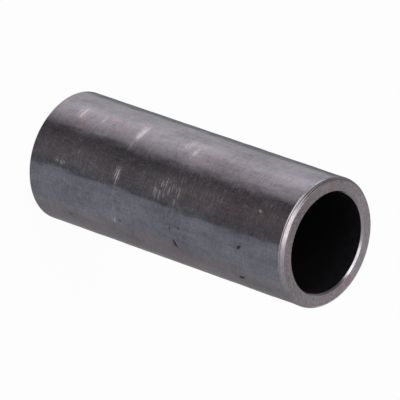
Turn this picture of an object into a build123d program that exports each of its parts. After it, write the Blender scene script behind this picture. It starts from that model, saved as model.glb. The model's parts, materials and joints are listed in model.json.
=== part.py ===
"""Spacer sleeve: one length of cold-drawn seamless steel tube, faced square and deburred at both ends.

A bolt or an axle runs through the bore, and the two flat end faces keep whatever they clamp a fixed distance
apart. The sleeve is a single turned piece, so it is one solid, made by one revolve of its wall section.

Frame: millimetres. The sleeve stands on one end face, which lies in the plane z = 0, with its axis on +Z and the
origin at the centre of that face.
"""

from build123d import *
import os

# Tube stock
OUTER_DIAMETER = 35.0  # drawn outside diameter
WALL = 4.0  # wall thickness of the tube

# Cut piece
LENGTH = 90.0  # from end face to end face

# Edge breaks, the same at both ends, each 45 degrees
OUTER_CHAMFER = 0.8  # turned round the outside edge
BORE_CHAMFER = 0.5  # deburred round the mouth of the bore

# Worked out from the values above
OUTER_RADIUS = OUTER_DIAMETER / 2
BORE_RADIUS = OUTER_RADIUS - WALL


def wall_section():
    """One side of the lengthwise section: the wall's rectangle in the XZ plane, with its four corners broken."""
    with BuildSketch(Plane.XZ) as section:
        with Locations((BORE_RADIUS, 0)):
            Rectangle(WALL, LENGTH, align=(Align.MIN, Align.MIN))
        corners = section.vertices().sort_by(Axis.X)
        chamfer(corners[:2], length=BORE_CHAMFER)
        chamfer(corners[2:], length=OUTER_CHAMFER)
    return section.sketch


def make_sleeve():
    """The sleeve, turned from its section by a full revolve about its own axis."""
    with BuildPart() as sleeve:
        add(wall_section())
        revolve(axis=Axis.Z)
    return sleeve.part


def main():
    os.makedirs("parts", exist_ok=True)
    sleeve = make_sleeve()
    sleeve.label = "sleeve"
    export_step(sleeve, "parts/sleeve.step")


main()
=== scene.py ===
# %% [markdown]
# # A spacer sleeve, dressed for its studio view
#
# A spacer sleeve is a short length of thick-walled steel tube. A bolt or an axle runs through it, and it
# keeps two parts a fixed distance apart. Its shape is already settled in the CAD model, which is loaded
# here as a fixed frame. This lesson builds the surface that is looked at: a drawn skin that is not quite
# even, turned ends, a scaled bore, and the marks of handling. The scene is built in metres, in the CAD
# model's own frame. Marks and patterns are given in millimetres, which suit a part of this size.

# %% Load the frame
import json
import math
import random

import bmesh
import bpy
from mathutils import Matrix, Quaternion, Vector, noise


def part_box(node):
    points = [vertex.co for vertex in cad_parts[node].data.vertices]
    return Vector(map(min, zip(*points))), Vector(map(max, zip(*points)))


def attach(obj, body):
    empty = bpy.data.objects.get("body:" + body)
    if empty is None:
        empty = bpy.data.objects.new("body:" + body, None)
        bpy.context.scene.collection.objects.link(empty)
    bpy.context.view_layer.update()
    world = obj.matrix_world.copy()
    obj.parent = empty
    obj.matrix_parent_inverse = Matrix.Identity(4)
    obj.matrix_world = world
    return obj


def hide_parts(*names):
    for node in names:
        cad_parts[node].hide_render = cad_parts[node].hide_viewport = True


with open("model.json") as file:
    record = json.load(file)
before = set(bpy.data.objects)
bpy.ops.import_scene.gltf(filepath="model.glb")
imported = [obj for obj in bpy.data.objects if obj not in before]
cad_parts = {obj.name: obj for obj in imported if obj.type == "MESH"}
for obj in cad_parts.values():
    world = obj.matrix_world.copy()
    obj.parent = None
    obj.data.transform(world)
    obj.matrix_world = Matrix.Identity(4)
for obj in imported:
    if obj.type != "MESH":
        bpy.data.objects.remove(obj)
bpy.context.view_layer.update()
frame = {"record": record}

# %% [markdown]
# ## Measures
#
# Sizes are read from the CAD model and its record and not typed in again, so the dressed sleeve cannot
# drift away from the solid. Only the two edge breaks need care. The bore's comes out of the record,
# because the bore is shorter than the sleeve by one break at each end. The outer one is a named value
# here.

# %% Measures
MM = 0.001
low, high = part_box("sleeve")
bore = next(mount for mount in frame["record"]["mounts"] if mount["name"] == "bore")
LENGTH = high.z - low.z
OUTER = (high.x - low.x) / 2
BORE = bore["dims"]["r_mm"] * MM
OUTER_BREAK = 0.8 * MM
BORE_BREAK = (LENGTH - bore["dims"]["length_mm"] * MM) / 2
MIDDLE = Vector((0, 0, low.z + LENGTH / 2))
INSIDE_WALL = (BORE + OUTER) / 2
HALF_LENGTH_MM = LENGTH / MM / 2
print(f"length {LENGTH / MM:.2f}, outside {2 * OUTER / MM:.2f}, bore {2 * BORE / MM:.2f} mm")
print(f"edge breaks: outside {OUTER_BREAK / MM:.2f}, bore {BORE_BREAK / MM:.2f} mm")

# %% [markdown]
# ## The wall section
#
# Anything turned is one section swept round an axis. The section of this wall is a tall rectangle with
# its corners cut off at 45 degrees. It starts as four vertices and one face, and the bevel operator cuts
# the corners, as the tool on the lathe does. Below the outer cut at the top the tool has only just
# touched the wall, so a slight taper follows it there. A second, tiny bevel rounds the corners that are
# left: no real edge is perfectly sharp, and that small round is what catches a thin line of light.


# %% Cut the wall section
def corner_points(bm):
    """The section's corners, as the lists (near the bore, near the outside)."""
    inner = [v for v in bm.verts if v.co.x < INSIDE_WALL]
    outer = [v for v in bm.verts if v.co.x > INSIDE_WALL]
    return inner, outer


def cut_corners(bm, corners, offset, segments):
    """A flat cut with one segment, a round one with more."""
    bmesh.ops.bevel(
        bm, geom=corners, offset=offset, segments=segments, affect="VERTICES", profile=0.5, material=-1
    )


EDGE_ROUND = 0.05 * MM
EDGE_ROUND_STEPS = 3
TAPER_HEIGHT = 0.6 * MM
TAPER_DEPTH = 0.11 * MM

section = bmesh.new()
rectangle = [(BORE, low.z), (OUTER, low.z), (OUTER, high.z), (BORE, high.z)]
section.faces.new([section.verts.new((x, 0, z)) for x, z in rectangle])
inner_corners, outer_corners = corner_points(section)
cut_corners(section, outer_corners, OUTER_BREAK, 1)
cut_corners(section, inner_corners, BORE_BREAK, 1)
wall_top = next(v for v in section.verts if v.co.x > OUTER - EDGE_ROUND and v.co.z > MIDDLE.z)
wall_edge = max(wall_top.link_edges, key=lambda edge: edge.calc_length())
bmesh.utils.edge_split(wall_edge, wall_top, TAPER_HEIGHT / wall_edge.calc_length())
bmesh.ops.translate(section, verts=[wall_top], vec=(-TAPER_DEPTH, 0, 0))
cut_corners(section, section.verts[:], EDGE_ROUND, EDGE_ROUND_STEPS)
bmesh.ops.delete(section, geom=section.faces[:], context="FACES_ONLY")
print("section corners and rounds:", len(section.verts), "points")

# %% [markdown]
# ## Rows for the skin
#
# The sweep can only bend where it has vertices. The long edges are therefore divided into rows. The
# closest are on the edge breaks, for the grooves of the turning tool. Those on the outside are close
# enough for waves and pits, and the bore's are wide apart. Before that, each edge gets a cut close to both
# of its ends. Such a holding cut keeps the smooth shading of the flat from leaning into the corner.

# %% Divide the edges into rows
HOLD = 0.06 * MM
LONG_ENOUGH = 4 * HOLD
ROW_OUTSIDE = 0.75 * MM
ROW_BORE = 2.5 * MM
ROW_BREAK = 0.065 * MM
ROW_FACE = 0.30 * MM


def hold_both_ends(edge):
    """Adds a cut close to each end of an edge, and gives back the middle part."""
    for vert in list(edge.verts):
        far = edge.other_vert(vert)
        new_vert = bmesh.utils.edge_split(edge, vert, HOLD / edge.calc_length())[1]
        edge = next(e for e in new_vert.link_edges if far in e.verts)
    return edge


def row_length(edge):
    """How long a row may be on this edge, by what the edge will become."""
    a, b = (v.co for v in edge.verts)
    if abs(a.x - b.x) < EDGE_ROUND / 2:
        return ROW_OUTSIDE if a.x > INSIDE_WALL else ROW_BORE
    return ROW_FACE if abs(a.z - b.z) < EDGE_ROUND / 2 else ROW_BREAK


for edge in [e for e in section.edges if e.calc_length() > LONG_ENOUGH]:
    middle_part = hold_both_ends(edge)
    cuts = max(1, round(middle_part.calc_length() / row_length(middle_part)) - 1)
    bmesh.ops.subdivide_edges(section, edges=[middle_part], cuts=cuts)
print("section ready to turn:", len(section.verts), "points")

# %% [markdown]
# ## Turn the section round the axis
#
# The spin operator is Blender's lathe. It sweeps the section through a full turn in small steps and, with
# merging on, closes the last step onto the first. The normals are worked out again afterwards, because a
# spin may turn a closed shape inside out.

# %% Spin the sleeve
STEPS = 320
SAME_PLACE = 0.001 * MM
bmesh.ops.spin(
    section,
    geom=section.verts[:] + section.edges[:],
    cent=(0, 0, 0),
    axis=(0, 0, 1),
    angle=math.tau,
    steps=STEPS,
    use_merge=True,
)
sleeve_mesh = section
bmesh.ops.remove_doubles(sleeve_mesh, verts=sleeve_mesh.verts[:], dist=SAME_PLACE)
bmesh.ops.recalc_face_normals(sleeve_mesh, faces=sleeve_mesh.faces[:])
open_edges = [e for e in sleeve_mesh.edges if not e.is_manifold]
print("turned:", len(sleeve_mesh.faces), "faces,", len(open_edges), "open edges")

# %% [markdown]
# ## Places on the wall
#
# A mark on a tube is easiest to place the way a fitter would say it: how far round from the front, and
# how high above the floor. Angles here start at the front (the -Y side) and grow towards the -X side. The
# arc between two angles is turned into millimetres, so that a mark has a true length round the wall.


# %% Places on the wall
def angle_of(point):
    """Degrees round from the front of the sleeve, from -180 to 180."""
    return math.degrees(math.atan2(-point.x, -point.y))


def place_on_wall(point):
    """A point's place as degrees round from the front and mm above the floor."""
    return angle_of(point), (point.z - low.z) / MM


def arc_between(angle, other):
    """The way round the outside from one angle to the other, in mm, with its sign."""
    turn = (angle - other + 180) % 360 - 180
    return math.radians(turn) * OUTER / MM


def falloff(distance, reach):
    """1 in the middle of a mark, 0 at its reach, with a smooth edge."""
    share = min(1.0, abs(distance) / reach)
    return (1 - share * share) ** 2


class Mark:
    """A spot on the wall: degrees round, mm up, how far it reaches along the arc and in height, and how
    strong it is. Slant leans it, in mm that it climbs for each mm of arc."""

    def __init__(self, round_by, up, arc, tall, strength, slant=0.0):
        self.round_by, self.up, self.arc, self.tall = round_by, up, arc, tall
        self.strength, self.slant = strength, slant

    def away(self, angle, up):
        """How far a place is from the middle of the mark, along the arc and up, in mm."""
        arc = arc_between(angle, self.round_by)
        return arc, up - self.up - self.slant * arc

    def at(self, angle, up):
        """The mark's strength at a place."""
        arc, rise = self.away(angle, up)
        if abs(arc) >= self.arc or abs(rise) >= self.tall:
            return 0.0
        return self.strength * falloff(arc, self.arc) * falloff(rise, self.tall)


# %% [markdown]
# ## Pits and dents
#
# Small pits come from the mill and from knocks in the crate. They are real hollows here, up to about a
# tenth of a millimetre deep, so they hold in a close view and in a print. The ones that face the front
# are placed one by one. The far side gets a scatter from a seeded generator, which gives the same marks
# on every run. The strength of a pit is its depth in mm.

# %% List the pits
PITS = [
    Mark(-29, 75.0, 0.90, 0.90, 0.11, slant=0.5),
    Mark(-25.5, 75.6, 0.70, 0.40, 0.06),
    Mark(-27, 73.9, 0.90, 0.36, 0.05),
    Mark(-33, 74.2, 0.90, 0.34, 0.04),
    Mark(-34, 50.9, 0.75, 0.50, 0.07),
    Mark(-31, 54.0, 0.75, 0.50, 0.07),
    Mark(-37, 51.0, 0.90, 0.30, 0.03),
    Mark(-48, 52.1, 2.00, 0.85, 0.085, slant=-0.40),
    Mark(-50, 51.6, 0.90, 0.60, 0.05, slant=-0.6),
    Mark(-62, 73.8, 0.90, 1.30, 0.12, slant=0.7),
    Mark(-59, 75.2, 0.60, 0.80, 0.05, slant=0.9),
    Mark(-44, 32.7, 0.80, 1.30, 0.045),
    Mark(-41, 32.0, 0.60, 0.70, 0.02),
    Mark(-58, 13.8, 0.90, 1.00, 0.04),
    Mark(-18, 50.6, 0.50, 0.40, 0.05),
    Mark(12, 21.0, 0.35, 0.40, 0.04),
]
SEED = 11
BACK = (95, 265)
BACK_PITS = 14
far_side = random.Random(SEED)
for _ in range(BACK_PITS):
    PITS.append(
        Mark(
            far_side.uniform(*BACK),
            far_side.uniform(6, 84),
            far_side.uniform(0.4, 0.9),
            far_side.uniform(0.35, 0.8),
            far_side.uniform(0.04, 0.11),
            slant=far_side.uniform(-0.5, 0.5),
        )
    )
print(len(PITS), "pits, the deepest", max(p.strength for p in PITS), "mm")

# %% [markdown]
# The rows are too wide apart for a hollow half a millimetre across. Only the faces near each pit are
# divided further, which keeps the rest of the mesh light.


# %% Divide the faces near the pits
def on_outside(point):
    """Whether a point lies on the straight part of the outside wall."""
    return math.hypot(point.x, point.y) > OUTER - EDGE_ROUND / 2


PIT_CUTS = 3
# How far past a pit's own reach the faces are still divided, in mm
PAST_ARC = 0.3
PAST_HEIGHT = 0.6


def near_a_pit(face):
    """Whether a face of the outside wall lies in a pit or close by."""
    middle = face.calc_center_median()
    if not on_outside(middle):
        return False
    for pit in PITS:
        arc, rise = pit.away(*place_on_wall(middle))
        if abs(arc) < pit.arc + PAST_ARC and abs(rise) < pit.tall + PAST_HEIGHT:
            return True
    return False


pit_faces = [f for f in sleeve_mesh.faces if near_a_pit(f)]
pit_edges = list(dict.fromkeys(e for f in pit_faces for e in f.edges))
bmesh.ops.subdivide_edges(sleeve_mesh, edges=pit_edges, cuts=PIT_CUTS, use_grid_fill=True)
print(len(pit_faces), "faces divided for pits; now", len(sleeve_mesh.faces), "faces")

# %% [markdown]
# ## Which surface is which
#
# The three finishes are material slots on one mesh: the drawn skin outside, the turned ends, and the
# scale in the bore. Each face is told its slot by how far it is from the axis, while the shape is still
# exact. The edge breaks and the slight taper lie between the wall's two sides, so they count as turned.

# %% Give each face its finish
SKIN, TURNED, SCALE = 0, 1, 2
CLOSE = 0.02 * MM
for face in sleeve_mesh.faces:
    middle = face.calc_center_median()
    radius = math.hypot(middle.x, middle.y)
    face.smooth = True
    if radius > OUTER - CLOSE:
        face.material_index = SKIN
    elif radius < BORE + CLOSE:
        face.material_index = SCALE
    else:
        face.material_index = TURNED
slots_used = [face.material_index for face in sleeve_mesh.faces]
print("faces by finish:", [slots_used.count(slot) for slot in (SKIN, TURNED, SCALE)])

# %% [markdown]
# ## Marks that only the finish shows
#
# Scuffs, stains and rust have no depth worth modelling, but they have a place. Each kind of mark is
# stored on the vertices as an attribute from 0 to 1, and the materials read it: the attribute says where,
# and a fine pattern in the material says what the scratches look like.

# %% List the scuffs
SCUFFS = [
    Mark(39, 31.1, 4.8, 2.3, 1.0),
    Mark(-3, 31.0, 4.2, 1.7, 1.0),
    Mark(8, 31.0, 14.0, 1.0, 0.44),
    Mark(-30, 31.0, 9.0, 0.9, 0.44),
    Mark(-46, 30.8, 2.0, 1.2, 0.7),
    Mark(39, 10.0, 3.4, 1.10, 0.72),
    Mark(41, 8.6, 3.0, 1.20, 0.70),
    Mark(40, 17.5, 2.4, 0.70, 0.60),
    Mark(-9, 11.0, 1.0, 4.60, 0.70),
    Mark(-1, 16.0, 5.0, 9.00, 0.22),
    Mark(45, 47.0, 4.4, 2.60, 0.60),
    Mark(39, 50.4, 4.4, 3.00, 0.62),
    Mark(-4, 45.8, 5.0, 2.60, 0.60),
    Mark(-2, 47.8, 5.4, 2.40, 0.56),
    Mark(-1, 50.0, 5.4, 2.80, 0.54),
    Mark(-2, 52.4, 5.6, 2.60, 0.60),
    Mark(-24, 50.5, 4.0, 2.50, 0.35),
    Mark(4, 66.0, 2.2, 3.40, 0.3),
    Mark(-18, 50.0, 1.2, 1.60, 0.3),
]
print(len(SCUFFS), "scuffs on the front")

# %% List the stains and the rust
STAINS = [
    Mark(42, 24.0, 5.0, 16.0, 0.7),
    Mark(36, 62.0, 4.5, 22.0, 0.6),
    Mark(3, 74.0, 8.0, 30.0, 1.0),
    Mark(30, 12.0, 5.0, 14.0, 0.6),
    Mark(-52, 38.0, 3.0, 10.0, 0.8),
    Mark(-58, 46.0, 6.0, 40.0, 0.7),
    Mark(-62, 78.0, 4.0, 12.0, 0.5),
    Mark(-56, 66.0, 2.6, 13.0, 0.9),
    Mark(-60, 18.0, 4.0, 14.0, 0.6),
]
RUST = [
    Mark(7.0, 79.4, 0.42, 0.40, 1.0),
    Mark(4.6, 80.0, 0.38, 0.34, 0.7),
    Mark(9.4, 78.4, 0.38, 0.36, 0.5),
    Mark(7.4, 74.6, 0.60, 0.60, 0.4),
]
print(len(STAINS), "stains and", len(RUST), "rust spots on the front")

# %% Scatter marks over the far side
BACK_SCUFFS = 9
BACK_STAINS = 6
BACK_RUST = 4
for _ in range(BACK_SCUFFS):
    up = far_side.uniform(6, 84)
    SCUFFS.append(
        Mark(
            far_side.uniform(*BACK),
            up,
            far_side.uniform(1.2, 4.0),
            far_side.uniform(0.5, 5.0),
            far_side.uniform(0.3, 0.9),
        )
    )
for _ in range(BACK_STAINS):
    STAINS.append(
        Mark(
            far_side.uniform(80, 280),
            far_side.uniform(10, 80),
            far_side.uniform(3, 7),
            far_side.uniform(8, 26),
            far_side.uniform(0.4, 0.8),
        )
    )
for _ in range(BACK_RUST):
    RUST.append(
        Mark(far_side.uniform(*BACK), far_side.uniform(8, 82), 0.5, 0.5, far_side.uniform(0.5, 1.0))
    )
print("in all", len(SCUFFS), "scuffs,", len(STAINS), "stains,", len(RUST), "rust spots")

# %% [markdown]
# ## A skin that is not quite round
#
# Tube is drawn through a die and straightened between rollers, and that leaves waves a few hundredths of
# a millimetre high. They cannot be seen as a shape, yet they bend every reflection: without them the
# bands of light on the wall would be ruler-straight. Each vertex of the skin is moved along its radius by
# a smooth noise that is long down the sleeve and shorter round it, less the depth of any pit it lies in.

# %% The shape of the waves, in mm
WAVE_HEIGHT = 0.055
WAVE_ROUND = 4.5
WAVE_ALONG = 9.0
# Two finer waves ride on the long one: how many times finer, how high beside it, and where the noise starts
FINER_WAVES = [(2.1, 0.65, Vector((7, 3, 5))), (4.3, 0.35, Vector((1, 8, 2)))]
# The waves start this far from an end of the sleeve and take this long to reach their full height
FADE_FROM = 1.4
FADE_OVER = 2.0


def wave(point):
    """Height of the drawn skin's wave at a point, in mm."""
    place = point / MM
    place = Vector((place.x / WAVE_ROUND, place.y / WAVE_ROUND, place.z / WAVE_ALONG))
    height = noise.noise(place)
    for finer, share, start in FINER_WAVES:
        height += share * noise.noise(place * finer + start)
    return WAVE_HEIGHT * height


def edge_fade(up):
    """0 at the ends of the sleeve, 1 away from them, so that the waves die out at the edges."""
    from_end = min(up, LENGTH / MM - up)
    return min(1.0, max(0.0, from_end - FADE_FROM) / FADE_OVER)


print(f"half-way up at the front the wave is {wave(MIDDLE - Vector((0, OUTER, 0))):.3f} mm high")

# %% Wave the skin and press in the pits
# A pit this deep, in mm, has the darkest floor
PIT_DARK_AT = 0.065
kinds = {"pit": PITS, "scuff": SCUFFS, "stain": STAINS, "rust": RUST}
layers = {name: sleeve_mesh.verts.layers.float.new(name) for name in kinds}
deepest = 0.0
for vert in sleeve_mesh.verts:
    if not on_outside(vert.co):
        continue
    angle, up = place_on_wall(vert.co)
    strengths = {name: max(mark.at(angle, up) for mark in marks) for name, marks in kinds.items()}
    for name, strength in strengths.items():
        vert[layers[name]] = strength
    # Lowered by half a wave, so that hardly any of the skin stands above the drawn size
    offset = (wave(vert.co) - WAVE_HEIGHT / 2) * edge_fade(up) - strengths["pit"]
    radius = OUTER + offset * MM
    direction = Vector((vert.co.x, vert.co.y)).normalized()
    vert.co.x, vert.co.y = direction.x * radius, direction.y * radius
    vert[layers["pit"]] = min(1.0, strengths["pit"] / PIT_DARK_AT)
    deepest = min(deepest, offset)
print(f"skin waved; deepest point {deepest:.3f} mm under the drawn size")

# %% [markdown]
# ## Tool marks on the ends
#
# A turning tool leaves one fine groove for each turn of the work. The pitch of the grooves is its feed.
# On the outer edge break and the taper they are coarse enough to see as rings, so the vertices there are
# moved in by a few hundredths of a millimetre. One stretch round the edge came out smoother, and one
# coarser. The finer grooves of the flat ends are left to the material.

# %% Groove the edge breaks
FEED = 0.60
GROOVE_DEPTH = 0.038
GROOVE_FADE = 0.10 * MM
WAVER_OVER = 9 * MM
SMOOTH_PART = Mark(-4, LENGTH / MM, 5.0, 4.0, 0.35)
COARSE_PART = Mark(36, LENGTH / MM, 9.0, 4.0, 0.6)
for vert in sleeve_mesh.verts:
    radius = math.hypot(vert.co.x, vert.co.y)
    from_end = min(high.z - vert.co.z, vert.co.z - low.z)
    near_the_edge = HOLD < from_end < OUTER_BREAK + TAPER_HEIGHT
    if not (near_the_edge and OUTER - OUTER_BREAK < radius < OUTER - CLOSE):
        continue
    angle, up = place_on_wall(vert.co)
    # Some stretches of each groove are deeper than others, and lie a little higher or lower
    waver = noise.noise(vert.co / WAVER_OVER)
    depth = GROOVE_DEPTH * (0.8 + 0.6 * waver)
    depth *= 1 - SMOOTH_PART.at(angle, up) + COARSE_PART.at(angle, up)
    depth *= min(1.0, (OUTER - radius) / GROOVE_FADE)
    # Measured along the surface, because a slope of 45 degrees is longer than it is high
    along_break = (from_end + min(from_end, OUTER_BREAK) * (math.sqrt(2) - 1)) / MM
    groove = depth * MM * (math.cos(math.tau * along_break / FEED + 2 * waver) - 1)
    vert.co.x *= 1 + groove / radius
    vert.co.y *= 1 + groove / radius
print("grooves on the edge breaks, pitch", FEED, "mm")

# %% [markdown]
# ## Make the piece
#
# So far the sleeve is only geometry in memory. Blender shows objects, so the geometry is written into a
# mesh, and the mesh goes into an object that stands at the origin of the CAD model's frame.

# %% Make the piece
sleeve_data = bpy.data.meshes.new("drawn_sleeve")
sleeve_mesh.to_mesh(sleeve_data)
sleeve_mesh.free()
sleeve_piece = bpy.data.objects.new("drawn_sleeve", sleeve_data)
bpy.context.scene.collection.objects.link(sleeve_piece)
triangles = sum(len(p.vertices) - 2 for p in sleeve_data.polygons)
print("drawn_sleeve:", triangles, "triangles")

# %% [markdown]
# ## Shader maths as sums
#
# A material here is mostly arithmetic on patterns. Written out as nodes it is hard to read, so a small
# class wraps a socket and lets Python's own signs stand for Math nodes: `0.2 + 0.1 * speckle` adds two
# nodes. A second class holds the material, and its method `node` makes every other kind of node.


# %% A socket that can be used in sums
class Value:
    """One number or colour on its way through a material."""

    def __init__(self, finish, socket):
        self.finish, self.socket = finish, socket

    def maths(self, operation, *terms, clamp=False):
        settings = {"operation": operation, "use_clamp": clamp}
        return self.finish.node("ShaderNodeMath", settings, dict(enumerate(terms)))

    def __add__(self, other):
        return self.maths("ADD", self, other)

    def __radd__(self, other):
        return self.maths("ADD", other, self)

    def __sub__(self, other):
        return self.maths("SUBTRACT", self, other)

    def __rsub__(self, other):
        return self.maths("SUBTRACT", other, self)

    def __mul__(self, other):
        return self.maths("MULTIPLY", self, other)

    def __rmul__(self, other):
        return self.maths("MULTIPLY", other, self)

    def __truediv__(self, other):
        return self.maths("DIVIDE", self, other)

    def __pow__(self, other):
        return self.maths("POWER", self, other)

    def clamped(self):
        return self.maths("ADD", self, 0.0, clamp=True)

    def sine(self):
        return self.maths("SINE", self)

    def size(self):
        return self.maths("ABSOLUTE", self)

    def larger(self, other):
        return self.maths("MAXIMUM", self, other)


# %% A material that makes its own nodes
class Finish:
    """A material, or the world, with short ways to make its nodes."""

    def __init__(self, name, tree=None):
        if tree is None:
            self.material = bpy.data.materials.new(name)
            self.material.use_nodes = True
            tree = self.material.node_tree
        self.tree = tree
        self.tree.nodes.clear()

    def node(self, kind, settings=None, sockets=None, output=0):
        """Makes a node. Its sockets get a value or a link, and the wanted output comes back."""
        made = self.tree.nodes.new(kind)
        for name, value in (settings or {}).items():
            setattr(made, name, value)
        for place, value in (sockets or {}).items():
            if isinstance(value, Value):
                self.tree.links.new(value.socket, made.inputs[place])
            else:
                made.inputs[place].default_value = value
        return Value(self, made.outputs[output]) if made.outputs else made

    def vector_maths(self, operation, *terms):
        return self.node("ShaderNodeVectorMath", {"operation": operation}, dict(enumerate(terms)))

    def in_mm(self):
        """The place on the piece, in millimetres."""
        place = self.node("ShaderNodeTexCoord", output="Object")
        return self.vector_maths("MULTIPLY", place, (1 / MM, 1 / MM, 1 / MM))

    def parts(self, vector):
        """A vector's three numbers."""
        first = self.node("ShaderNodeSeparateXYZ", None, {0: vector})
        return [Value(self, socket) for socket in first.socket.node.outputs]

    def noise(self, place, stretch, detail=2.0, rough=0.5, shift=(0, 0, 0)):
        """Smooth noise from 0 to 1. Stretch is how many of its lumps go into a millimetre, each way."""
        scaled = self.vector_maths("MULTIPLY_ADD", place, stretch, shift)
        sockets = {"Vector": scaled, "Scale": 1.0, "Detail": detail, "Roughness": rough}
        return self.node("ShaderNodeTexNoise", {"noise_dimensions": "3D"}, sockets)

    def band(self, value, start, stop, low_end=0.0, high_end=1.0):
        """Follows value from low_end at start to high_end at stop, with soft ends."""
        sockets = {0: value, 1: start, 2: stop, 3: low_end, 4: high_end}
        return self.node("ShaderNodeMapRange", {"interpolation_type": "SMOOTHSTEP"}, sockets)

    def mixed(self, share, first, second):
        """From the first colour to the second. This node's sockets share names, so they go by number."""
        settings = {"data_type": "RGBA", "clamp_factor": True}
        return self.node("ShaderNodeMix", settings, {0: share, 6: first, 7: second}, output=2)

    def marked(self, name):
        """One of the mesh's own marks, from 0 to 1."""
        return self.node("ShaderNodeAttribute", {"attribute_name": name}, output="Fac")

    def times(self, colour, factor):
        """The colour made lighter or darker."""
        return self.node("ShaderNodeVectorMath", {"operation": "SCALE"}, {0: colour, 3: factor})

    def bump(self, height):
        """A bump whose height is in millimetres."""
        return self.node("ShaderNodeBump", None, {"Strength": 1.0, "Distance": MM, "Height": height})

    def metal(self, constants, varying):
        """The surface itself, which ends the material."""
        shader = self.node("ShaderNodeBsdfPrincipled", None, {**constants, **varying})
        self.node("ShaderNodeOutputMaterial", None, {"Surface": shader})


def rgb(red, green, blue):
    return (red, green, blue, 1.0)


def swing(pattern, amount):
    """Turns a pattern from 0 to 1 into one that swings as far below 0 as above it."""
    return amount * (pattern - 0.5)


# %% [markdown]
# ## The drawn skin
#
# Cold-drawn tube is bright but not polished. A thin film of oil and oxide takes the edge off its shine
# and gives it a faint violet-grey cast, brown where the film is thicker. Fine rings run round it from the
# straightening rollers. All of that could be painted as a picture, but patterns on the object's own
# coordinates need no seams and stay sharp however close the view is.
#
# A scratch on dark metal looks light because its torn bottom is rough and sends light every way. So the
# scratches change the colour and the roughness together, and a worn haze lies round the heaviest ones.

# %% Patterns of the drawn skin
skin = Finish("drawn_steel_skin")
place = skin.in_mm()
pit, scuff = skin.marked("pit"), skin.marked("scuff")
stain, rust = skin.marked("stain"), skin.marked("rust")

patches = skin.noise(place, (0.13, 0.13, 0.07), detail=3.0)
mottle = skin.noise(place, (0.75, 0.75, 0.40), detail=3.0, rough=0.6, shift=(5, 5, 1))
grain = skin.noise(place, (2.2, 2.2, 1.8), detail=3.0, rough=0.6, shift=(3, 9, 4))
hatch = skin.noise(place, (0.30, 0.30, 1.9), detail=4.0, rough=0.65, shift=(8, 1, 2))
draw_lines = skin.noise(place, (1.3, 1.3, 0.04), detail=3.0, shift=(2, 6, 0))
print("patterns of the skin:", len(skin.tree.nodes), "nodes")

# %% Scratches and rings in the drawn skin
# Loose scratches are the crests of a pattern stretched round the tube. They gather on the scuffs
scratch_lines = skin.noise(place, (0.10, 0.10, 1.9), detail=3.0, rough=0.65, shift=(1, 4, 3))
scratch_breaks = skin.noise(place, (0.50, 0.50, 1.3), detail=3.0, rough=0.6, shift=(6, 2, 8))
cover = (scuff + 0.10 * skin.band(patches, 0.45, 0.70)).clamped()
loose = skin.band(scratch_lines + 0.13 * cover + swing(scratch_breaks, 0.35), 0.60, 0.70)
loose = loose * skin.band(cover, 0.0, 0.45)

# Deeper rings, each at its own height in mm; they show only where the skin is scuffed
DEEP_RINGS = [8.1, 8.8, 9.5, 10.1, 11.3, 12.6, 17.6, 29.6, 30.35, 31.0, 31.65]
DEEP_RINGS += [44.6, 45.3, 46.2, 46.8, 47.7, 48.5, 49.1, 50.0, 50.8, 51.4, 52.4, 53.2]
RING_WIDTH = 0.18
RING_CORE = 0.07
height_up = skin.parts(place)[2] - low.z / MM + swing(patches, 1.2) + swing(mottle, 0.3)
rings = [skin.band((height_up - at).size(), RING_WIDTH, RING_CORE) for at in DEEP_RINGS]
deep = rings[0]
for ring in rings[1:]:
    deep = ring.larger(deep)
deep = deep * skin.band(cover + swing(scratch_breaks, 1.6), 0.36, 0.84)
scratches = (0.50 * loose).larger(deep * skin.band(scuff, 0.30, 1.00, 0.70, 1.10))
worn = 0.16 * scuff * skin.band(mottle, 0.28, 0.56)
print(len(DEEP_RINGS), "deep rings;", len(skin.tree.nodes), "nodes")

# %% Colour and shine of the drawn skin
# The film is heavy in the stains and thin elsewhere; rubbed patches are rougher, and dust dulls the metal
film = (0.85 * stain * skin.band(mottle, 0.30, 0.62) + 0.45 * skin.band(mottle, 0.45, 0.70)).clamped()
rub = skin.band(hatch, 0.46, 0.70) * skin.band(patches, 0.30, 0.62)
dust = skin.band(grain, 0.46, 0.66)

CLEAN_STEEL = rgb(0.366, 0.338, 0.383)
OILED_STEEL = rgb(0.358, 0.287, 0.315)
BARE_SCRATCH = rgb(0.930, 0.890, 0.900)
PIT_FLOOR = rgb(0.036, 0.034, 0.040)
RUST_GOLD = rgb(0.920, 0.760, 0.400)

tone = 1.0 + swing(grain, 0.62) + swing(mottle, 0.74) + swing(patches, 0.84) + swing(hatch, 0.62)
tone = tone + swing(draw_lines, 0.32)
colour = skin.times(skin.mixed(film, CLEAN_STEEL, OILED_STEEL), tone)
colour = skin.mixed((scratches * 0.78 + worn).clamped(), colour, BARE_SCRATCH)
colour = skin.mixed(pit, colour, PIT_FLOOR)
colour = skin.mixed(rust * skin.band(grain, 0.35, 0.55), colour, RUST_GOLD)

rough = 0.11 + 0.16 * rub + 0.04 * film + 0.26 * scratches + 0.45 * pit + 0.3 * rust
height = swing(grain, 0.0035) + swing(hatch, 0.0048) + swing(draw_lines, 0.0020) + 0.008 * scratches
skin.metal(
    {"IOR": 1.45},
    {
        "Base Color": colour,
        "Roughness": rough,
        "Metallic": 1.0 - (0.6 * pit + 0.6 * rust + 0.42 * scratches + 0.07 * dust).clamped(),
        "Normal": skin.bump(height),
    },
)
print("drawn skin:", len(skin.tree.nodes), "nodes")
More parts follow.
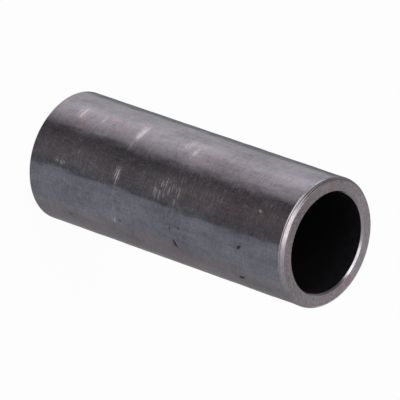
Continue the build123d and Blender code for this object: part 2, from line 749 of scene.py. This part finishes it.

# %% [markdown]
# ## The turned ends
#
# The ends were faced and their edges broken on the lathe, after the tube was drawn, so they show fresh
# metal: lighter than the skin, with fine rings round the axis, and a little brown where they have stood
# in damp air. The rings follow the distance from the axis. A little of the height is taken off that
# distance, so that the same pattern also steps across the sloping edge breaks. The tarnish is blotchy
# mostly on the flat face. The flat face is also painted lighter towards its back (+Y) and darker towards
# its front: a painted light gradient, not tarnish.

# %% Tool lines and tarnish of the turned ends
ends = Finish("turned_steel_ends")
place = ends.in_mm()
across, along, up = ends.parts(place)
radius = (across * across + along * along) ** 0.5
from_middle = (up - MIDDLE.z / MM).size()
HEIGHT_SHARE = 0.4
track = radius - HEIGHT_SHARE * from_middle

FEED_ENDS = 0.21
LINES_IN_A_MM = 6.0
DRIFT_ROUND = 0.03
sockets = {0: track * LINES_IN_A_MM, 1: across * DRIFT_ROUND, 2: along * DRIFT_ROUND}
place_on_track = ends.node("ShaderNodeCombineXYZ", None, sockets)
tool_lines = ends.noise(place_on_track, (1, 1, 1), detail=3.0, rough=0.7)
feed_wave = 0.5 + 0.5 * (track * (math.tau / FEED_ENDS)).sine()
mottle = ends.noise(place, (0.42, 0.42, 0.42), detail=4.0, rough=0.65, shift=(4, 4, 0))
clouds = ends.noise(place, (0.09, 0.09, 0.09), detail=2.0, shift=(2, 0, 7))
speckle = ends.noise(place, (1.2, 1.2, 1.2), detail=4.0, rough=0.65, shift=(0, 8, 3))
tarnish = ends.band(mottle, 0.42, 0.62)
red_tarnish = ends.band(mottle + swing(speckle, 0.5), 0.54, 0.62) * ends.band(clouds, 0.35, 0.60)
print("patterns of the ends:", len(ends.tree.nodes), "nodes")

# %% Colour and shine of the turned ends
FRESH_STEEL = rgb(0.575, 0.535, 0.575)
TARNISHED = rgb(0.455, 0.390, 0.420)
RED_TARNISH = rgb(0.390, 0.265, 0.305)
FLAT_FROM = HALF_LENGTH_MM - 0.10
FLAT_TO = HALF_LENGTH_MM - 0.02
PAINTED_LIGHT_REACH = 15.0
on_flat = ends.band(from_middle, FLAT_FROM, FLAT_TO)
blotches = swing(speckle, 1.5) + swing(mottle, 1.3)
end_tone_and_painted_light = 0.85 + swing(tool_lines, 0.50) + blotches * (0.25 + 0.75 * on_flat)
# The last term paints the flat face lighter towards its back (+Y) side: a painted light gradient, not
# tarnish
end_tone_and_painted_light = end_tone_and_painted_light + swing(clouds, 0.6) + 0.26 * ends.band(along, -PAINTED_LIGHT_REACH, PAINTED_LIGHT_REACH) * on_flat
colour = ends.mixed(tarnish * 0.8, FRESH_STEEL, TARNISHED)
colour = ends.mixed(red_tarnish * on_flat * 0.7, colour, RED_TARNISH)
colour = ends.times(colour, end_tone_and_painted_light)
rough = 0.14 + 0.10 * tool_lines + (0.05 + 0.10 * tarnish) * on_flat
height = swing(tool_lines, 0.008) + 0.002 * feed_wave + swing(speckle, 0.003)
ends.metal(
    {"IOR": 1.45, "Metallic": 1.0},
    {"Base Color": colour, "Roughness": rough, "Normal": ends.bump(height)},
)
print("turned ends:", len(ends.tree.nodes), "nodes")

# %% [markdown]
# ## The scale in the bore
#
# Nothing touches the inside of the tube after it is drawn, and it keeps a dull black scale. That is not
# bare metal any more, so it is a plain dark surface, almost black. Near each mouth its colour is painted
# lighter and bluer, a painted light where light falls into the bore; deeper in it stays almost black.

# %% Mix the bore scale
scale = Finish("bore_scale")
place = scale.in_mm()
up = scale.parts(place)[2]
flakes = scale.noise(place, (0.7, 0.7, 0.35), detail=4.0, rough=0.6)
dust = scale.noise(place, (4.0, 4.0, 4.0), detail=2.0, shift=(1, 7, 2))
# Painted light: within this depth of each mouth the bore is painted lighter and bluer, in patches
PAINTED_LIGHT_DEPTH = 9.0
painted_light_at_mouth = scale.band((up - MIDDLE.z / MM).size(), HALF_LENGTH_MM - PAINTED_LIGHT_DEPTH, HALF_LENGTH_MM)

DEEP_SCALE = rgb(0.0050, 0.0048, 0.0055)
# The mouth colour is lighter and bluer than the deep scale: a painted light near the mouth
MOUTH_SCALE_PAINTED_LIGHT = rgb(0.0110, 0.0100, 0.0145)
colour = scale.mixed(painted_light_at_mouth * scale.band(flakes, 0.35, 0.65), DEEP_SCALE, MOUTH_SCALE_PAINTED_LIGHT)
rough = 0.50 + 0.20 * flakes
height = 0.02 * flakes + 0.004 * dust
scale.metal(
    {"IOR": 1.45, "Specular IOR Level": 0.15},
    {"Base Color": colour, "Roughness": rough, "Normal": scale.bump(height)},
)
print("bore scale:", len(scale.tree.nodes), "nodes")

# %% [markdown]
# ## Put the piece on its body
#
# The sleeve has no joints, so its one piece rides on the body called root. It stands for the CAD node,
# which is then hidden, and it takes the three finishes as its material slots.

# %% Ride on the frame
for finish in (skin, ends, scale):
    sleeve_data.materials.append(finish.material)
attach(sleeve_piece, "root")
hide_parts("sleeve")
print("piece rides on root")

# %% [markdown]
# ## The floor and the white room
#
# The sleeve stands on a plain pale floor in a white room. The floor is white to the camera but keeps a
# trace of the sleeve's shadow, which a mix of a glowing white and a plain matt white gives. From below it
# is clear, so that a view from underneath still shows the sleeve.


# %% Lay the floor
def seen_as_background(finish):
    """1 for rays that should see the white room itself: from the camera, or off metal or through glass."""
    path = finish.node("ShaderNodeLightPath").socket.node.outputs
    camera_ray = Value(finish, path["Is Camera Ray"])
    glossy_ray = Value(finish, path["Is Glossy Ray"])
    through_ray = Value(finish, path["Is Transmission Ray"])
    return camera_ray.larger(glossy_ray).larger(through_ray)


FLOOR_SIZE = 6.0
FLOOR_GAP = 0.02 * MM
SHADOW_SHARE = 0.05
floor_mesh = bmesh.new()
bmesh.ops.create_grid(floor_mesh, x_segments=1, y_segments=1, size=FLOOR_SIZE / 2)
bmesh.ops.translate(floor_mesh, verts=floor_mesh.verts[:], vec=(0, 0, low.z - FLOOR_GAP))
floor_data = bpy.data.meshes.new("floor")
floor_mesh.to_mesh(floor_data)
floor_mesh.free()
floor = bpy.data.objects.new("floor", floor_data)
bpy.context.scene.collection.objects.link(floor)

floor_finish = Finish("white_floor")
matt = floor_finish.node("ShaderNodeBsdfDiffuse", None, {"Color": rgb(0.9, 0.9, 0.9)})
glow = floor_finish.node("ShaderNodeEmission", None, {"Color": rgb(1, 1, 1), "Strength": 1.0})
share = seen_as_background(floor_finish) * (1 - SHADOW_SHARE)
top_side = floor_finish.node("ShaderNodeMixShader", None, {0: share, 1: matt, 2: glow})
clear = floor_finish.node("ShaderNodeBsdfTransparent")
back_side = floor_finish.node("ShaderNodeNewGeometry").socket.node.outputs["Backfacing"]
floor_surface = floor_finish.node(
    "ShaderNodeMixShader", None, {0: Value(floor_finish, back_side), 1: top_side, 2: clear}
)
floor_finish.node("ShaderNodeOutputMaterial", None, {"Surface": floor_surface})
floor_data.materials.append(floor_finish.material)
floor.visible_glossy = False
print("floor", FLOOR_SIZE, "m square")

# %% [markdown]
# ## The light tent
#
# Shiny metal has hardly any look of its own: it shows what stands round it. Small metal parts are shown
# in a tent of white cloth, and the tent's panels draw the bands of light on them. This one has a bright
# panel high at the front, which lights the edge break, another on the -X side, a greyer one on the +X
# side, and a dark opening low at the front. It is a large ball round the sleeve that only reflections can
# see. Its panels hang in three rows, low, middle and high. Each row is a colour ramp that goes once round
# the axis, and one row blends into the next.

# %% Pitch the light tent
TENT_RADIUS = 4.0
tent_mesh = bmesh.new()
bmesh.ops.create_uvsphere(tent_mesh, u_segments=48, v_segments=24, radius=TENT_RADIUS)
tent_data = bpy.data.meshes.new("light_tent")
tent_mesh.to_mesh(tent_data)
tent_mesh.free()
tent = bpy.data.objects.new("light_tent", tent_data)
bpy.context.scene.collection.objects.link(tent)

# Degrees round from the front, brightness there, and warmth: 0 is neutral, below 0 is bluer
TENT_LOW = [
    (-180, 0.30, 0.0),
    (-154, 0.25, 0.3),
    (-134, 0.28, 0.0),
    (-110, 0.32, -0.2),
    (-96, 0.34, -0.9),
    (-50, 0.35, -1.0),
    (-34, 0.33, -1.0),
    (-30, 0.17, -1.0),
    (-21, 0.155, -1.0),
    (-16, 0.172, 0.2),
    (4, 0.170, 0.2),
    (36, 0.10, 0.0),
    (46, 0.22, 0.0),
    (56, 0.48, 0.0),
    (80, 0.74, 0.0),
    (94, 0.93, 0.0),
    (106, 0.75, -0.2),
    (138, 0.58, -0.2),
    (149, 0.26, -1.0),
    (160, 0.20, -1.0),
    (180, 0.30, 0.0),
]
TENT_MIDDLE = [
    (-180, 0.90, 0.0),
    (-162, 0.90, 0.0),
    (-152, 0.30, 0.0),
    (-108, 0.34, -0.6),
    (-44, 0.34, -0.8),
    (-22, 0.28, 0.0),
    (-12, 0.40, 0.0),
    (40, 0.40, 0.0),
    (50, 0.70, 0.0),
    (66, 0.95, 0.0),
    (98, 0.95, 0.0),
    (110, 0.35, 0.0),
    (150, 0.25, 0.0),
    (168, 0.30, 0.0),
    (176, 0.90, 0.0),
    (180, 0.90, 0.0),
]
TENT_HIGH = [
    (-180, 0.34, 0.2),
    (-110, 0.37, 0.0),
    (-93, 0.42, 0.0),
    (-60, 0.58, 0.0),
    (-30, 0.70, 0.0),
    (-20, 1.60, 0.0),
    (52, 1.90, 0.0),
    (65, 0.16, 0.0),
    (100, 0.15, 0.0),
    (130, 0.24, 0.1),
    (160, 0.34, 0.2),
    (180, 0.34, 0.2),
]
print("panel edges in the rows:", len(TENT_LOW), len(TENT_MIDDLE), len(TENT_HIGH))

# %% Colour the tent's cloth
WARM_RED = 0.10
WARM_BLUE = 0.05


def tent_ramp(finish, share, panels):
    """A colour ramp once round the tent, from a list of panels."""
    ramp = finish.node("ShaderNodeValToRGB", None, {0: share})
    elements = ramp.socket.node.color_ramp.elements
    while len(elements) < len(panels):
        elements.new(0.5)
    for element, (degrees, level, warmth) in zip(elements, panels):
        element.position = (degrees + 180) / 360
        element.color = rgb(level * (1 + WARM_RED * warmth), level, level * (1 - WARM_BLUE * warmth))
    return ramp


# Where one row blends into the next: how far up the ball, from -1 at the bottom to 1 at the top
LOW_TO_MIDDLE = (-0.54, -0.34)
MIDDLE_TO_HIGH = (-0.10, 0.20)

tent_finish = Finish("tent_cloth")
direction = tent_finish.node("ShaderNodeTexCoord", output="Object")
direction = tent_finish.vector_maths("NORMALIZE", direction)
across, along, rise = tent_finish.parts(direction)
turned = across.maths("ARCTAN2", 0.0 - across, 0.0 - along)
share = turned / math.tau + 0.5
low_panels = tent_ramp(tent_finish, share, TENT_LOW)
middle_panels = tent_ramp(tent_finish, share, TENT_MIDDLE)
high_panels = tent_ramp(tent_finish, share, TENT_HIGH)
tent_colour = tent_finish.mixed(tent_finish.band(rise, *LOW_TO_MIDDLE), low_panels, middle_panels)
tent_colour = tent_finish.mixed(tent_finish.band(rise, *MIDDLE_TO_HIGH), tent_colour, high_panels)
tent_glow = tent_finish.node("ShaderNodeEmission", None, {"Color": tent_colour, "Strength": 1.0})
tent_finish.node("ShaderNodeOutputMaterial", None, {"Surface": tent_glow})
tent_finish.material.cycles.emission_sampling = "NONE"
tent_data.materials.append(tent_finish.material)
tent.visible_camera = False
tent.visible_diffuse = False
tent.visible_shadow = False
tent.visible_transmission = False
print("light tent:", len(tent_finish.tree.nodes), "nodes")

# %% [markdown]
# ## The room's own light
#
# Rays that are not reflections see the world: pure white for the camera, and a soft grey for everything
# that only needs to be lit. One wide soft lamp above the -X side adds the direction that gives a shadow
# its shape.

# %% Light the room
SOFT_LIGHT = 0.55
world = bpy.data.worlds.new("white_room")
bpy.context.scene.world = world
world.use_nodes = True
room = Finish("white_room", world.node_tree)
soft = room.node("ShaderNodeBackground", None, {"Color": rgb(1, 1, 1), "Strength": SOFT_LIGHT})
white = room.node("ShaderNodeBackground", None, {"Color": rgb(1, 1, 1), "Strength": 1.0})
seen = room.node("ShaderNodeMixShader", None, {0: seen_as_background(room), 1: soft, 2: white})
room.node("ShaderNodeOutputWorld", None, {"Surface": seen})

LAMP_POWER = 9.0
LAMP_SIZE = 1.2
LAMP_FROM_MIDDLE = Vector((-0.9, -0.6, 1.3))
lamp_data = bpy.data.lights.new("soft_lamp", "AREA")
lamp_data.size = LAMP_SIZE
lamp_data.energy = LAMP_POWER
lamp = bpy.data.objects.new("soft_lamp", lamp_data)
lamp.location = MIDDLE + LAMP_FROM_MIDDLE
lamp.rotation_euler = LAMP_FROM_MIDDLE.to_track_quat("Z", "Y").to_euler()
lamp.visible_glossy = False
bpy.context.scene.collection.objects.link(lamp)
print("lamp", LAMP_POWER, "W, world", SOFT_LIGHT)

# %% [markdown]
# ## The camera
#
# A long lens from well back keeps the sleeve's sides nearly parallel. The camera looks down on the
# standing sleeve from the front and is rolled over, so that the sleeve seems to lie on its side with its
# open end towards the viewer. Rolling the camera costs nothing, and the sleeve stays on its end face,
# where it cannot roll away. Two small shifts centre it in the view.

# %% Place the camera
ELEVATION = math.radians(38.87)
ROLL = math.radians(109.27)
DISTANCE = 1.5956
LENS = 551.6
ASIDE = 0.44 * MM
LOWER = 0.43 * MM

back = Vector((0, -math.cos(ELEVATION), math.sin(ELEVATION)))
turn = back.to_track_quat("Z", "Y") @ Quaternion((0, 0, 1), ROLL)
camera_data = bpy.data.cameras.new("camera")
camera_data.lens = LENS
camera = bpy.data.objects.new("camera", camera_data)
camera.rotation_mode = "QUATERNION"
camera.rotation_quaternion = turn
camera.location = MIDDLE + DISTANCE * back + turn @ Vector((ASIDE, -LOWER, 0))
bpy.context.scene.collection.objects.link(camera)
bpy.context.scene.camera = camera
bpy.context.scene.view_settings.view_transform = "Standard"
print("camera at", [round(c, 3) for c in camera.location])
